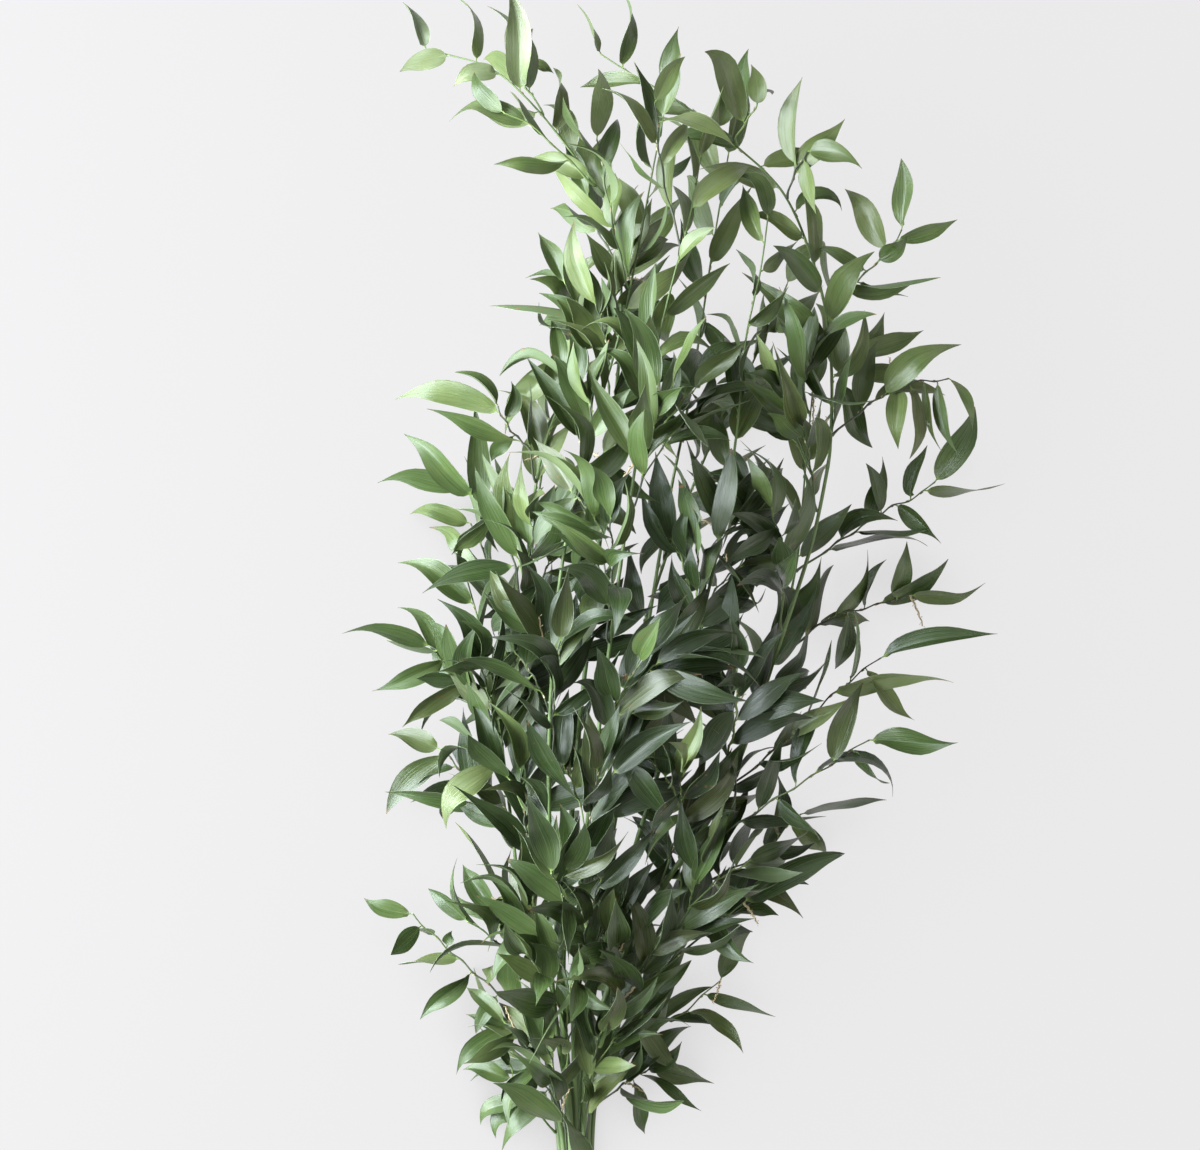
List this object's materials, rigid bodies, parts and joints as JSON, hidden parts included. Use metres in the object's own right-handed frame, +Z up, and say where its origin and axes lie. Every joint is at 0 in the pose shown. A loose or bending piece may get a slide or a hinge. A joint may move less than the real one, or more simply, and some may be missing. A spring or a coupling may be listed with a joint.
{
  "type": "bunch of ruscus stems",
  "caption": "Bunch of cut ruscus stems with alternate leafy side shoots, picked and laid down on a flat surface, for flower arranging.",
  "frame": {"origin": "on the surface that the bunch lies on, below the middle of its bounding box", "axes": "+Y along the bunch from the cut ends to the tips, +X across it, +Z up from the surface"},
  "size_m": [0.474, 0.9416, 0.1944],
  "materials": {
    "stem": "fresh green stem with fine lengthwise ridges and glossy leaves at its top",
    "shoot": "stiff glossy green leaves with fine parallel veins on a thin green twig"
  },
  "bodies": {
    "root": {"shoot_i_1": "shoot", "shoot_i_2": "shoot", "shoot_i_3": "shoot", "shoot_i_4": "shoot", "shoot_i_5": "shoot", "shoot_l_6": "shoot", "shoot_a_7": "shoot", "shoot_a_8": "shoot", "shoot_a_9": "shoot", "shoot_c_10": "shoot", "shoot_c_11": "shoot", "shoot_c_12": "shoot", "shoot_b_13": "shoot", "shoot_d_14": "shoot", "shoot_g_15": "shoot", "shoot_g_16": "shoot", "shoot_g_17": "shoot", "shoot_g_18": "shoot", "shoot_g_19": "shoot", "shoot_h_20": "shoot", "shoot_h_21": "shoot", "shoot_g_22": "shoot", "shoot_g_23": "shoot", "shoot_h_24": "shoot", "shoot_j_25": "shoot", "shoot_h_26": "shoot", "stem_a": "stem", "stem_b": "stem", "stem_c": "stem", "stem_d": "stem", "stem_e": "stem", "stem_f": "stem", "stem_g": "stem", "stem_h": "stem", "stem_i": "stem", "stem_j": "stem", "stem_k": "stem", "stem_l": "stem", "shoot_b_27": "shoot", "shoot_f_28": "shoot", "shoot_j_29": "shoot", "shoot_b_30": "shoot", "shoot_d_31": "shoot", "shoot_j_32": "shoot", "shoot_a_33": "shoot", "shoot_d_34": "shoot", "shoot_g_35": "shoot", "shoot_i_36": "shoot", "shoot_b_37": "shoot", "shoot_d_38": "shoot", "shoot_g_39": "shoot", "shoot_a_40": "shoot", "shoot_d_41": "shoot", "shoot_f_42": "shoot", "shoot_g_43": "shoot", "shoot_b_44": "shoot", "shoot_d_45": "shoot", "shoot_g_46": "shoot", "shoot_b_47": "shoot", "shoot_c_48": "shoot"}
  },
  "joints": []
}
